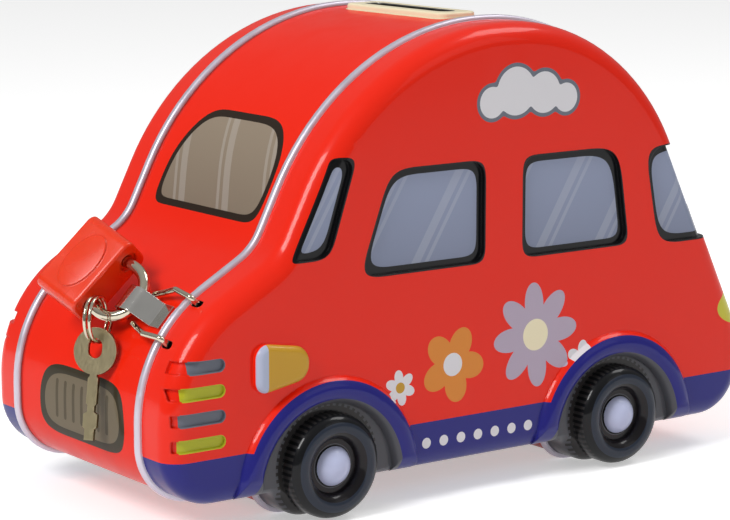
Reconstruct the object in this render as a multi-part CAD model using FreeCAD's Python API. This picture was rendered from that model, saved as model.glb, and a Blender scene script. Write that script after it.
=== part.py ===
"""Car-shaped tin money box: two embossed side shells, a centre band with the coin slot,
a hinged lid side, a wire latch and a small padlock with its key.  Units are millimetres."""
import FreeCAD
import Part
import math
import os

Vector = FreeCAD.Vector

# Tinplate
TIN_WALL = 0.4             # sheet thickness, with its lacquer
FIT_GAP = 0.3              # gap between pieces that move past each other
SLACK = 0.05               # running clearance of pins in their holes

# Car outline, seen from the side: x from front to rear, z up from the table
BODY_FRONT = -84.0
BODY_REAR = 84.5
SILL_HEIGHT = 7.5          # underside of the body between the wheels
ROOF_HEIGHT = 108.2
BONNET_ANGLE = 29.5        # slope of the bonnet, degrees
SCREEN_ANGLE = 63.0        # slope of the windscreen, degrees
TAIL_ANGLE = 64.0          # slope of the tail, degrees
SCUTTLE_X = -54.0          # where bonnet and windscreen lines meet
SCUTTLE_Z = 60.7
TAIL_CORNER_Z = 29.0       # where the tail line meets the rear wall line
NOSE_FLAT = 4.6            # upright stretch between the nose arc and the foot arc
SCUTTLE_RADIUS = 14.0
SCREEN_FLAT = 9.9          # straight stretch of the windscreen between its two arcs
ROOF_FLAT = 1.5            # level stretch between the front and rear roof arcs
TAIL_RADIUS = 24.0
FRONT_FOOT_RADIUS = 13.0
REAR_FOOT_RADIUS = 12.0

# Widths, along y
SIDE_DEPTH = 13.1          # depth of each pressed side, rim to face
BAND_WIDTH = 51.4          # centre band, from one side's rim to the other's
EDGE_ROUND = 5.0           # rounding of the side's outer edge

# Wired rim of each side
BEAD_REACH = 1.05          # how far the bead stands out of the wall
BEAD_WIDTH = 2.1
BEAD_ROUND = 0.85
COLLAR_REACH = 1.5         # how far the band's collar enters the lid
COLLAR_ROOT = 3.0          # how far it runs inside the band

# Wheels and arches
WHEEL_BASE = 84.0
WHEEL_HEIGHT = 12.6        # wheel centre above the table
TYRE_RADIUS = 9.0          # centre of the tyre's round section
TYRE_ROUND = 2.9
TYRE_DEPTH = 0.6           # section centre outside the face
DISH_HEIGHT = 1.0
HUB_ROUND = 4.9
HUB_SINK = 0.6             # hub sphere's centre inside the face
BUMP_TOP = 13.0            # half widths of the wheel bump in the outline
BUMP_FOOT = 9.5
BUMP_FOOT_RADIUS = 8.0
BUMP_TOP_RADIUS = 4.0
ARCH_RADIUS = 21.2
ARCH_ROUND = 3.3
ARCH_SINK = 1.1            # ridge section's centre inside the face
ARCH_HEIGHT = 8.5          # arch centre above the table
WELL_RADIUS = 19.0
WELL_DEPTH = 1.2

# Windows, lamps and vents of a side
RECESS_WRAP = 5.4          # how far recesses run round the edge, from the face
PANE_DEPTH = 1.2
WINDOW_FOOT = 53.9
WINDOW_HEAD = 77.2
DOOR_POST_FRONT = 1.5      # edges of the post between the door windows
DOOR_POST_REAR = 13.0
FRONT_DOOR_LENGTH = 35.0
REAR_DOOR_LENGTH = 32.3
QUARTER_SETBACK = 2.4      # front quarter window, from the windscreen line
QUARTER_FOOT = 59.2
QUARTER_HEAD = 80.8
QUARTER_LENGTH = 9.6
QUARTER_HEAD_LENGTH = 5.76
FRONT_DOOR_LEAN = 8.5      # how far each slanted edge leans from foot to head
REAR_DOOR_LEAN = 3.5
REAR_QUARTER_LEAN = 4.5
REAR_QUARTER_X = 55.3
REAR_QUARTER_FOOT = 52.9
REAR_QUARTER_HEAD = 76.4
VENT_DEPTH = 0.8
VENT_HEIGHT = 2.6
VENT_PITCH = 5.6
VENT_COUNT = 4
VENT_FIRST_Z = 22.1
VENT_SETBACK = 1.5         # from the nose
VENT_LENGTH = 12.9
LAMP_SETBACK = 21.6        # from the nose
LAMP_LENGTH = 14.0
LAMP_FOOT = 30.9
LAMP_HEAD = 42.8
LAMP_REAR_FOOT = 33.4
LAMP_REAR_HEAD = 40.5
LAMP_FOOT_RADIUS = 2.6
LAMP_REAR_RADIUS = 4.0
LAMP_HEAD_RADIUS = 3.2
LAMP_RISE = 2.2
LAMP_ROUND = 1.5

# Coin pad on the roof
PAD_CENTRE_X = 9.2
PAD_LENGTH = 11.0
PAD_WIDTH = 39.0
PAD_RISE = 1.2
PAD_CORNER = 2.5
SLOT_WIDTH = 4.8
SLOT_LENGTH = 32.0

# Hinge on the tail
HINGE_LENGTH = 24.0
HINGE_UP = 22.9            # its middle, up the tail line from the rear corner
HINGE_PIN_RADIUS = 0.7
KNUCKLE_WALL = 0.55
KNUCKLE_COUNT = 5
LEAF_WALL = 0.5
LEAF_REACH = 7.4

# Latch on the nose
LATCH_ANGLE = 44.0         # place on the nose arc, degrees up from the horizontal
STRIP_WIDTH = 6.0
STRIP_WALL = 0.5
STRIP_START = 1.4          # from the rim to the strip's root edge
STRIP_TAB = 3.6            # flat tab on the band
ARCH_INNER = 2.6           # inner radius of the strip's arch
ARCH_FLAT = 1.5            # flat on top of that arch
HOOK_CENTRE = 11.0         # from the rim to the shackle in the arch
WIRE_RADIUS = 0.65
WIRE_BEND = 1.0
HOLE_SPACING = 11.2
HOLE_SETBACK = 4.2         # from the rim to the wire's holes
HOLE_HALF_LENGTH = 1.8
HOLE_HALF_WIDTH = 0.95
WIRE_SINK = 1.9            # bar inside the lid, below the wall
WIRE_RISE = 1.7
WIRE_CREST = 2.6
WIRE_END_RISE = 1.5
WIRE_SPLAY = 0.5           # how far the arms bow out and in again
WIRE_CREST_PLACE = 1.5     # crest, waist and ends of the arms, from the rim
WIRE_WAIST_PLACE = 5.6
WIRE_WAIST_RISE = 1.8
WIRE_END_PLACE = 9.2
WIRE_END_GAP = 0.4         # between the ends and the strip's edges

# Padlock, in its own axes: x across, y along the legs into the case, z out of the face
PADLOCK_TILT = 23.0        # tilt of the legs off the bonnet, degrees
PADLOCK_YAW = -9.0         # turn on the bonnet, degrees
CASE_WIDTH = 20.0
CASE_HEIGHT = 13.0
CASE_THICKNESS = 9.0
CASE_CORNER = 2.2
CASE_EDGE = 0.7
JACKET_WALL = 1.1
RELIEF_LENGTH = 14.0
RELIEF_HEIGHT = 8.4
RELIEF_RISE = 0.35
SHACKLE_RADIUS = 1.3
LEG_SPACING = 12.75
LEG_CLEAR = 9.3            # from the case to the top of the bow
LEG_SLACK = 0.15
LEG_RECESS_RADIUS = 2.3
LEG_RECESS_DEPTH = 0.6
TOE_LENGTH = 6.0
HEEL_LENGTH = 9.6
RELEASE_TRAVEL = 5.5
PLUG_RADIUS = 2.4
PLUG_INNER = 5.2           # inner end of the plug, from the shackle end of the case
PLATE_WALL = 0.8
BOLT_START = 2.8
BOLT_WALL = 1.6
BOLT_HALF_WIDTH = 1.5
BOLT_TRAVEL = 1.2
BOLT_ENTRY = 0.7           # how deep the bolt enters the toe leg's notch
BOLT_TAIL = 1.6
BOLT_SPRING_LENGTH = 0.9   # pressed together
BOLT_SPRING_WALL = 0.4
CAM_RADIUS = 0.45
CLIP_WALL = 0.5
PIN_RADIUS = 0.5
SPRING_RADIUS = 0.8
KEYWAY_LENGTH = 3.5
KEYWAY_WIDTH = 1.1

# Split ring and key
RING_RADIUS = 5.0
RING_WIRE_RADIUS = 0.375
RING_PITCH = 1.2
RING_TURNS = 2
RING_PLACE = 4.0           # along the lower leg, from the case
RING_HANG = 1.9            # ring centre from that leg
RING_LEAN = 65.0           # direction of that hang off the vertical, degrees
KEY_FACING = 33.0          # direction that the key faces, degrees off the front
KEY_LEAN = 12.0            # key's place round the ring, degrees
KEY_THICKNESS = 0.9
BOW_RADIUS = 5.2
BOW_HOLE_LENGTH = 4.4
BOW_HOLE_WIDTH = 3.4
NECK_WIDTH = 1.7
SHANK_WIDTH = 2.5
BIT_WIDTH = 3.4
TIP_WIDTH = 2.3
NECK_LENGTH = 0.8
SHANK_LENGTH = 6.0
NOTCH_LENGTH = 1.9
BIT_LENGTH = 3.3
TIP_LENGTH = 2.9
STEP_LENGTH = 0.5          # slanted steps between those widths

HALF_BAND = BAND_WIDTH / 2
HALF_WIDTH = HALF_BAND + SIDE_DEPTH
WHEELS = (-WHEEL_BASE / 2, WHEEL_BASE / 2)


def turned(angle):
    """Unit vector in the x-z plane, at an angle above +x."""
    return Vector(math.cos(math.radians(angle)), 0, math.sin(math.radians(angle)))


def slope(angle):
    return math.tan(math.radians(angle))


def side_point(a, b):
    return Vector(a, 0, b)


def flat_point(a, b):
    return Vector(a, b, 0)


def inset_corners(corners, inset):
    """Move a closed outline inward; corners run anticlockwise as (a, b, radius)."""
    moved = []
    count = len(corners)
    for i, (a, b, radius) in enumerate(corners):
        before = corners[i - 1]
        after = corners[(i + 1) % count]
        first = Vector(a - before[0], b - before[1], 0).normalize()
        second = Vector(after[0] - a, after[1] - b, 0).normalize()
        first_in = Vector(-first.y, first.x, 0)
        second_in = Vector(-second.y, second.x, 0)
        shift = (first_in + second_in) * (inset / (1 + first_in.dot(second_in)))
        convex = first.cross(second).z > 0
        grown = radius - inset if convex else radius + inset
        moved.append((a + shift.x, b + shift.y, max(grown, 0.0) if radius else 0.0))
    return moved


def rounded_wire(corners, place=side_point):
    """Closed wire of lines and tangent arcs through corners (a, b, radius)."""
    count = len(corners)
    points = [place(a, b) for a, b, _ in corners]
    bends = []
    for i, here in enumerate(points):
        radius = corners[i][2]
        if radius == 0:
            bends.append((here, here, here))
            continue
        back = (points[i - 1] - here).normalize()
        ahead = (points[(i + 1) % count] - here).normalize()
        half = back.getAngle(ahead) / 2
        setback = radius / math.tan(half)
        inner = (back + ahead).normalize()
        middle = here + inner * (radius / math.sin(half) - radius)
        bends.append((here + back * setback, middle, here + ahead * setback))
    edges = []
    for i, (start, middle, end) in enumerate(bends):
        if corners[i][2] > 0:
            edges.append(Part.Arc(start, middle, end).toShape())
        following = bends[(i + 1) % count][0]
        if end.distanceToPoint(following) > 1e-6:
            edges.append(Part.LineSegment(end, following).toShape())
    return Part.Wire(edges)


def prism(corners, y_start, y_end):
    face = Part.Face(rounded_wire(corners))
    face.translate(Vector(0, y_start, 0))
    return face.extrude(Vector(0, y_end - y_start, 0))


def rod_path(points, bend):
    """Open wire of straight runs through points, with equal tangent arcs at the bends."""
    edges = []
    start = points[0]
    for i in range(1, len(points) - 1):
        here = points[i]
        back = (points[i - 1] - here).normalize()
        ahead = (points[i + 1] - here).normalize()
        half = back.getAngle(ahead) / 2
        setback = bend / math.tan(half)
        inner = (back + ahead).normalize()
        middle = here + inner * (bend / math.sin(half) - bend)
        first = here + back * setback
        last = here + ahead * setback
        edges.append(Part.LineSegment(start, first).toShape())
        edges.append(Part.Arc(first, middle, last).toShape())
        start = last
    edges.append(Part.LineSegment(start, points[-1]).toShape())
    return Part.Wire(edges)


def round_rod(path, radius):
    """Solid round rod along a path."""
    start = path.Edges[0]
    begin = start.valueAt(start.FirstParameter)
    heading = start.tangentAt(start.FirstParameter)
    section = Part.Wire([Part.Circle(begin, heading, radius).toShape()])
    return path.makePipeShell([section], True, False)


def box_between(low, high):
    size = high - low
    return Part.makeBox(size.x, size.y, size.z, low)


def edges_at_y(shape, y):
    return [e for e in shape.Edges
            if abs(e.BoundBox.YMin - y) < 1e-4 and abs(e.BoundBox.YMax - y) < 1e-4]


def frame_matrix(origin, x_axis, y_axis, z_axis):
    return FreeCAD.Matrix(x_axis.x, y_axis.x, z_axis.x, origin.x,
                          x_axis.y, y_axis.y, z_axis.y, origin.y,
                          x_axis.z, y_axis.z, z_axis.z, origin.z,
                          0, 0, 0, 1)


def placed(shape, placement):
    moved = shape.copy()
    moved.Placement = placement.multiply(moved.Placement)
    return moved


# Outline of the car
FOOT_HEIGHT = BEAD_REACH    # wheel bumps stand on the beads, which reach the table
NOSE_Z = SCUTTLE_Z - (SCUTTLE_X - BODY_FRONT) * slope(BONNET_ANGLE)
NOSE_TURN = (90 - BONNET_ANGLE) / 2
NOSE_RADIUS = (NOSE_Z - SILL_HEIGHT - FRONT_FOOT_RADIUS - NOSE_FLAT) / slope(NOSE_TURN)


def car_outline():
    """Corners of the side view, anticlockwise with the front at the left."""
    screen_x = SCUTTLE_X + (ROOF_HEIGHT - SCUTTLE_Z) / slope(SCREEN_ANGLE)
    tail_x = BODY_REAR - (ROOF_HEIGHT - TAIL_CORNER_Z) / slope(TAIL_ANGLE)
    screen_run = (ROOF_HEIGHT - SCUTTLE_Z) / math.sin(math.radians(SCREEN_ANGLE))
    front_run = screen_run - SCUTTLE_RADIUS * slope((SCREEN_ANGLE - BONNET_ANGLE) / 2) - SCREEN_FLAT
    roof_front_radius = front_run / slope(SCREEN_ANGLE / 2)
    rear_run = tail_x - screen_x - front_run - ROOF_FLAT
    roof_rear_radius = rear_run / slope(TAIL_ANGLE / 2)
    corners = [(BODY_FRONT, SILL_HEIGHT, FRONT_FOOT_RADIUS)]
    for wheel in WHEELS:
        corners += [(wheel - BUMP_TOP, SILL_HEIGHT, BUMP_TOP_RADIUS),
                    (wheel - BUMP_FOOT, FOOT_HEIGHT, BUMP_FOOT_RADIUS),
                    (wheel + BUMP_FOOT, FOOT_HEIGHT, BUMP_FOOT_RADIUS),
                    (wheel + BUMP_TOP, SILL_HEIGHT, BUMP_TOP_RADIUS)]
    corners += [(BODY_REAR, SILL_HEIGHT, REAR_FOOT_RADIUS),
                (BODY_REAR, TAIL_CORNER_Z, TAIL_RADIUS),
                (tail_x, ROOF_HEIGHT, roof_rear_radius),
                (screen_x, ROOF_HEIGHT, roof_front_radius),
                (SCUTTLE_X, SCUTTLE_Z, SCUTTLE_RADIUS),
                (BODY_FRONT, NOSE_Z, NOSE_RADIUS)]
    return corners


OUTLINE = car_outline()
FACE_Y = -HALF_WIDTH        # outer face of the lid side
RIM_Y = -HALF_BAND          # plane where the lid side meets the band


def side_block(inset, rise=0.0):
    """Plain form of a side, rim to face, with its rounded edge; rise lifts the face."""
    face_y = FACE_Y - rise + inset
    block = prism(inset_corners(OUTLINE, inset), face_y, RIM_Y)
    return block.makeFillet(EDGE_ROUND + rise - inset, edges_at_y(block, face_y))


def window_outlines():
    """Window recesses of a side, front to rear, as corners (x, z, radius)."""
    quarter_x = SCUTTLE_X + QUARTER_SETBACK
    quarter_lean = (QUARTER_HEAD - QUARTER_FOOT) / slope(SCREEN_ANGLE)
    front_quarter = [(quarter_x, QUARTER_FOOT, 1.2), (quarter_x + QUARTER_LENGTH, QUARTER_FOOT, 4.0),
                     (quarter_x + QUARTER_HEAD_LENGTH + quarter_lean, QUARTER_HEAD, 2.5),
                     (quarter_x + quarter_lean, QUARTER_HEAD, 1.2)]
    front_x = DOOR_POST_FRONT - FRONT_DOOR_LENGTH
    front_door = [(front_x, WINDOW_FOOT, 3.0), (DOOR_POST_FRONT, WINDOW_FOOT, 3.0),
                  (DOOR_POST_FRONT, WINDOW_HEAD, 3.5), (front_x + FRONT_DOOR_LEAN, WINDOW_HEAD, 6.0)]
    rear_x = DOOR_POST_REAR + REAR_DOOR_LENGTH
    rear_door = [(DOOR_POST_REAR, WINDOW_FOOT, 3.0), (rear_x, WINDOW_FOOT, 3.0),
                 (rear_x - REAR_DOOR_LEAN, WINDOW_HEAD, 6.0), (DOOR_POST_REAR, WINDOW_HEAD, 3.5)]
    beyond = BODY_REAR + SIDE_DEPTH
    rear_quarter = [(REAR_QUARTER_X, REAR_QUARTER_FOOT, 5.0), (beyond, REAR_QUARTER_FOOT, 0),
                    (beyond, REAR_QUARTER_HEAD, 0),
                    (REAR_QUARTER_X - REAR_QUARTER_LEAN, REAR_QUARTER_HEAD, 5.0)]
    return [front_quarter, front_door, rear_door, rear_quarter]


def vent_outlines():
    half = VENT_HEIGHT / 2
    front_x = BODY_FRONT + VENT_SETBACK
    rear_x = front_x + VENT_LENGTH
    rows = []
    for i in range(VENT_COUNT):
        z = VENT_FIRST_Z + i * VENT_PITCH
        rows.append([(front_x, z - half, 0.3), (rear_x, z - half, half * 0.98),
                     (rear_x, z + half, half * 0.98), (front_x, z + half, 0.3)])
    return rows


def lamp_outline():
    front_x = BODY_FRONT + LAMP_SETBACK
    rear_x = front_x + LAMP_LENGTH
    return [(front_x, LAMP_FOOT, LAMP_FOOT_RADIUS), (rear_x, LAMP_REAR_FOOT, LAMP_REAR_RADIUS),
            (rear_x, LAMP_REAR_HEAD, LAMP_REAR_RADIUS), (front_x, LAMP_HEAD, LAMP_HEAD_RADIUS)]


def recesses(outlines, depth, inset):
    """Shallow pockets that follow the side's surface at one depth."""
    floor = side_block(depth + inset)
    pockets = []
    for corners in outlines:
        grown = inset_corners(corners, -inset)
        pockets.append(prism(grown, FACE_Y - 1, FACE_Y + RECESS_WRAP + inset).cut(floor))
    return pockets


def wheel_and_arch(wheel, inset):
    """Raised tyre, hub and arch ridge at one wheel, moved inward by inset."""
    out = Vector(0, -1, 0)
    root_y = FACE_Y + EDGE_ROUND + 2
    hub_line = Vector(wheel, 0, WHEEL_HEIGHT)

    def at(depth):
        return hub_line + Vector(0, FACE_Y + depth, 0)

    dish_reach = root_y - FACE_Y + DISH_HEIGHT - inset
    disc = Part.makeCylinder(TYRE_RADIUS, dish_reach, at(root_y - FACE_Y), out)
    barrel_reach = root_y - FACE_Y + TYRE_DEPTH
    barrel = Part.makeCylinder(TYRE_RADIUS + TYRE_ROUND - inset, barrel_reach, at(root_y - FACE_Y), out)
    core = Part.makeCylinder(TYRE_RADIUS, barrel_reach, at(root_y - FACE_Y), out)
    tyre = Part.makeTorus(TYRE_RADIUS, TYRE_ROUND - inset, at(-TYRE_DEPTH), out)
    hub = Part.makeSphere(HUB_ROUND - inset, at(HUB_SINK))
    arch_centre = Vector(wheel, FACE_Y + ARCH_SINK, ARCH_HEIGHT)
    ridge = Part.makeTorus(ARCH_RADIUS, ARCH_ROUND - inset, arch_centre, out)
    reach = ARCH_RADIUS + ARCH_ROUND
    upper = box_between(Vector(wheel - reach, FACE_Y - reach, SILL_HEIGHT + inset),
                        Vector(wheel + reach, RIM_Y - 1, ARCH_HEIGHT + reach))
    ridge = ridge.common(side_block(inset, ARCH_ROUND - ARCH_SINK)).common(upper)
    return [disc, barrel.cut(core).fuse(tyre), hub, ridge]


def side_form(inset):
    """Solid inside a side's outer surface, with all its embossing, moved inward by inset."""
    form = side_block(inset)
    wells = []
    for wheel in WHEELS:
        centre = Vector(wheel, FACE_Y + WELL_DEPTH + inset, ARCH_HEIGHT)
        wells.append(Part.makeCylinder(WELL_RADIUS + inset, WELL_DEPTH + 2, centre, Vector(0, -1, 0)))
    pockets = recesses(window_outlines(), PANE_DEPTH, inset)
    pockets += recesses(vent_outlines(), VENT_DEPTH, inset)
    form = form.cut(wells + pockets)
    raised = []
    for wheel in WHEELS:
        raised += wheel_and_arch(wheel, inset)
    lamp = prism(inset_corners(lamp_outline(), inset), FACE_Y - LAMP_RISE + inset, FACE_Y + EDGE_ROUND)
    lamp_edges = edges_at_y(lamp, FACE_Y - LAMP_RISE + inset)
    raised.append(lamp.makeFillet(LAMP_ROUND - inset, lamp_edges))
    return form.fuse(raised)


def rim_bead():
    """Wired rim that stands out all round the side."""
    plate = prism(inset_corners(OUTLINE, -BEAD_REACH), RIM_Y - BEAD_WIDTH, RIM_Y)
    edges = edges_at_y(plate, RIM_Y - BEAD_WIDTH) + edges_at_y(plate, RIM_Y)
    return plate.makeFillet(BEAD_ROUND, edges)


def make_side():
    """One pressed side with its rim, on the lid's side of the car."""
    outer = side_form(0).fuse(rim_bead())
    inner = side_form(TIN_WALL)
    mouth = prism(inset_corners(OUTLINE, TIN_WALL), RIM_Y - 0.5, RIM_Y + 1)
    return outer.cut(inner.fuse(mouth)).removeSplitter()


def make_band():
    """Centre band with its coin pad, slot and the collar that enters the lid."""
    start = RIM_Y + FIT_GAP
    wall_inner = inset_corners(OUTLINE, TIN_WALL)
    half_x = PAD_LENGTH / 2
    half_y = PAD_WIDTH / 2
    pad_corners = [(-half_x, -half_y, PAD_CORNER), (half_x, -half_y, PAD_CORNER),
                   (half_x, half_y, PAD_CORNER), (-half_x, half_y, PAD_CORNER)]
    pad_foot = Vector(PAD_CENTRE_X, 0, ROOF_HEIGHT - PAD_LENGTH / 4)

    def pad(inset):
        face = Part.Face(rounded_wire(inset_corners(pad_corners, inset), flat_point))
        face.translate(pad_foot)
        top_z = ROOF_HEIGHT + PAD_RISE - inset
        block = face.extrude(Vector(0, 0, top_z - pad_foot.z))
        rims = [e for e in block.Edges if e.BoundBox.ZMin > top_z - 1e-4]
        return block.makeFillet(PAD_RISE / 2, rims)

    outer = prism(OUTLINE, start, HALF_BAND).fuse(pad(0))
    inner = prism(wall_inner, start - 1, HALF_BAND + 1).fuse(pad(TIN_WALL))
    band = outer.cut(inner)
    collar_outer = inset_corners(OUTLINE, TIN_WALL + FIT_GAP)
    collar_inner = inset_corners(OUTLINE, TIN_WALL * 2 + FIT_GAP)
    collar = prism(collar_outer, RIM_Y - COLLAR_REACH, RIM_Y + COLLAR_ROOT)
    step = prism(OUTLINE, RIM_Y + COLLAR_ROOT - TIN_WALL, RIM_Y + COLLAR_ROOT)
    rim = collar.fuse(step).cut(prism(collar_inner, RIM_Y - COLLAR_REACH - 1, RIM_Y + COLLAR_ROOT + 1))
    half_slot = Vector(SLOT_WIDTH / 2, SLOT_LENGTH / 2, 0)
    slot_foot = Vector(PAD_CENTRE_X, 0, pad_foot.z - 1)
    slot_top = Vector(PAD_CENTRE_X, 0, ROOF_HEIGHT + PAD_RISE + 1)
    slot = box_between(slot_foot - half_slot, slot_top + half_slot)
    ends = [e for e in slot.Edges if e.BoundBox.ZLength > 1]
    return band.fuse(rim).cut(slot.makeFillet(SLOT_WIDTH / 2 - 0.01, ends)).removeSplitter()


# Hinge: its axis lies outside the bead, along the tail line
TAIL_OUT = turned(90 - TAIL_ANGLE)
TAIL_UP = turned(180 - TAIL_ANGLE)
KNUCKLE_RADIUS = HINGE_PIN_RADIUS + SLACK + KNUCKLE_WALL
AXIS_STANDOFF = BEAD_REACH + FIT_GAP + LEAF_WALL + HINGE_PIN_RADIUS + SLACK
HINGE_FOOT = Vector(BODY_REAR, 0, TAIL_CORNER_Z) + TAIL_UP * HINGE_UP
HINGE_AXIS_POINT = HINGE_FOOT + TAIL_OUT * AXIS_STANDOFF + Vector(0, RIM_Y + FIT_GAP / 2, 0)
# Local hinge axes: x towards the lid, y out of the tail, z up the tail
HINGE_PLACE = FreeCAD.Placement(frame_matrix(HINGE_AXIS_POINT, Vector(0, -1, 0), TAIL_OUT, TAIL_UP))


def knuckle_spans():
    pitch = HINGE_LENGTH / KNUCKLE_COUNT
    spans = []
    for i in range(KNUCKLE_COUNT):
        low = -HINGE_LENGTH / 2 + i * pitch + FIT_GAP / 2
        spans.append((low, low + pitch - FIT_GAP))
    return spans


def leaf_plate(corners, low, high):
    face = Part.Face(rounded_wire(corners, flat_point))
    face.translate(Vector(0, 0, low))
    return face.extrude(Vector(0, 0, high - low))


def make_leaf(side, first):
    """Hinge leaf; side is 1 on the lid and -1 on the band."""
    wall_y = -AXIS_STANDOFF
    under_y = -KNUCKLE_RADIUS
    if side > 0:
        step_x = FIT_GAP / 2 + BEAD_WIDTH + FIT_GAP + 0.4
        profile = [(0, under_y, 0), (step_x, under_y, 0), (step_x + 0.8, wall_y, 0), (LEAF_REACH, wall_y, 0),
                   (LEAF_REACH, wall_y + LEAF_WALL, 0), (step_x + 1.1, wall_y + LEAF_WALL, 0),
                   (step_x + 0.3, under_y + LEAF_WALL, 0), (0, under_y + LEAF_WALL, 0)]
    else:
        step_x = -FIT_GAP / 2 - 0.6
        profile = [(0, under_y, 0), (0, under_y + LEAF_WALL, 0), (step_x - 0.3, under_y + LEAF_WALL, 0),
                   (step_x - 1.1, wall_y + LEAF_WALL, 0), (-LEAF_REACH, wall_y + LEAF_WALL, 0),
                   (-LEAF_REACH, wall_y, 0), (step_x - 0.8, wall_y, 0), (step_x, under_y, 0)]
    axis = Vector(0, 0, 1)
    solids = []
    spans = knuckle_spans()
    for i, (low, high) in enumerate(spans):
        if i % 2 == first:
            solids.append(Part.makeCylinder(KNUCKLE_RADIUS, high - low, Vector(0, 0, low), axis))
            solids.append(leaf_plate(profile, low, high))
    clear = KNUCKLE_RADIUS + FIT_GAP
    plate = leaf_plate(profile, spans[0][0], spans[-1][1])
    window_low = Vector(-clear, -clear, -HINGE_LENGTH)
    window_high = Vector(clear, clear, HINGE_LENGTH)
    plate = plate.cut(box_between(window_low, window_high))
    leaf = plate.fuse(solids)
    bore_start = Vector(0, 0, -HINGE_LENGTH / 2 - 1)
    bore = Part.makeCylinder(HINGE_PIN_RADIUS + SLACK, HINGE_LENGTH + 2, bore_start, axis)
    return placed(leaf.cut(bore).removeSplitter(), HINGE_PLACE)


def make_hinge_pin():
    axis = Vector(0, 0, 1)
    foot = -HINGE_LENGTH / 2
    pin = Part.makeCylinder(HINGE_PIN_RADIUS, HINGE_LENGTH, Vector(0, 0, foot), axis)
    head_radius = HINGE_PIN_RADIUS + KNUCKLE_WALL / 2
    low_head = Part.makeCylinder(head_radius, KNUCKLE_WALL, Vector(0, 0, foot - KNUCKLE_WALL), axis)
    high_head = Part.makeCylinder(head_radius, KNUCKLE_WALL, Vector(0, 0, -foot), axis)
    return placed(pin.fuse([low_head, high_head]).removeSplitter(), HINGE_PLACE)


# Latch axes: x up the bonnet, y from the lid's rim across the band, z out of the bonnet
NOSE_CENTRE = Vector(BODY_FRONT + NOSE_RADIUS, 0, 0)
NOSE_CENTRE.z = NOSE_Z - NOSE_RADIUS * slope(NOSE_TURN)
LATCH_OUT = turned(180 - LATCH_ANGLE)
LATCH_UP = turned(90 - LATCH_ANGLE)
LATCH_ORIGIN = NOSE_CENTRE + LATCH_OUT * NOSE_RADIUS + Vector(0, RIM_Y, 0)
LATCH_PLACE = FreeCAD.Placement(frame_matrix(LATCH_ORIGIN, LATCH_UP, Vector(0, 1, 0), LATCH_OUT))
HOOK_HEIGHT = ARCH_INNER + 0.1      # shackle centre above the bonnet


def nose_drop(x):
    """How far the nose falls away from the latch plane at a distance x."""
    return NOSE_RADIUS - math.sqrt(NOSE_RADIUS ** 2 - x ** 2)


def make_hook_strip():
    """Strip on the band, bent up into an arch for the shackle."""
    middle = STRIP_WALL / 2
    crown = ARCH_INNER + middle
    tab_end = STRIP_START + STRIP_TAB
    near = HOOK_CENTRE - ARCH_FLAT / 2
    far = HOOK_CENTRE + ARCH_FLAT / 2
    top = HOOK_HEIGHT + crown
    reach = Vector(near - tab_end, HOOK_HEIGHT - middle, 0)
    rise = math.atan2(reach.y, reach.x) + math.asin(crown / reach.Length)
    touch = Vector(near - crown * math.sin(rise), HOOK_HEIGHT + crown * math.cos(rise), 0)

    def at(y, z):
        return Vector(0, y, z)

    mid_near = (math.pi / 2 + rise + math.pi / 2) / 2
    near_mid = at(near + crown * math.cos(mid_near), HOOK_HEIGHT + crown * math.sin(mid_near))
    half = crown * math.sqrt(0.5)
    shoulder = at(far + half, HOOK_HEIGHT + half)
    edges = [Part.LineSegment(at(STRIP_START, middle), at(tab_end, middle)).toShape(),
             Part.LineSegment(at(tab_end, middle), at(touch.x, touch.y)).toShape(),
             Part.Arc(at(touch.x, touch.y), near_mid, at(near, top)).toShape(),
             Part.LineSegment(at(near, top), at(far, top)).toShape(),
             Part.Arc(at(far, top), shoulder, at(far + crown, HOOK_HEIGHT)).toShape(),
             Part.LineSegment(at(far + crown, HOOK_HEIGHT), at(far + crown, SLACK)).toShape()]
    path = Part.Wire(edges)
    strip = path.makeOffset2D(middle, 2, True, True)
    other = path.makeOffset2D(-middle, 2, True, True)
    width = Vector(STRIP_WIDTH, 0, 0)
    solid = strip.extrude(width).fuse(other.extrude(width)).removeSplitter()
    solid.translate(Vector(-STRIP_WIDTH / 2, 0, 0))
    return placed(solid, LATCH_PLACE)


HOLE_DROP = nose_drop(HOLE_SPACING / 2)
WIRE_AXIS = LATCH_PLACE.multVec(Vector(0, -HOLE_SETBACK, -HOLE_DROP - TIN_WALL / 2))


def make_latch_wire():
    """Wire bail: a bar inside the lid, two arms out through the wall and over the rim."""
    half = HOLE_SPACING / 2
    end_x = STRIP_WIDTH / 2 + WIRE_RADIUS + WIRE_END_GAP

    def arm(side):
        return [Vector(side * half, -HOLE_SETBACK, -HOLE_DROP - WIRE_SINK),
                Vector(side * half, -HOLE_SETBACK, WIRE_RISE),
                Vector(side * (half + WIRE_SPLAY), WIRE_CREST_PLACE, WIRE_CREST),
                Vector(side * (half - WIRE_SPLAY), WIRE_WAIST_PLACE, WIRE_WAIST_RISE),
                Vector(side * end_x, WIRE_END_PLACE, WIRE_END_RISE)]

    path = rod_path(arm(-1)[::-1] + arm(1), WIRE_BEND)
    return placed(round_rod(path, WIRE_RADIUS), LATCH_PLACE)


def wire_holes():
    """Slotted holes in the lid for the wire's two arms."""
    low = Vector(-HOLE_HALF_WIDTH, -HOLE_HALF_LENGTH, -3)
    slot = box_between(low, Vector(HOLE_HALF_WIDTH, HOLE_HALF_LENGTH, 3))
    ends = [e for e in slot.Edges if e.BoundBox.ZLength > 1]
    slot = slot.makeFillet(HOLE_HALF_WIDTH * 0.98, ends)
    holes = []
    for side in (-1, 1):
        hole = slot.copy()
        hole.translate(Vector(side * HOLE_SPACING / 2, -HOLE_SETBACK, -HOLE_DROP))
        holes.append(placed(hole, LATCH_PLACE))
    return holes


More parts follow.
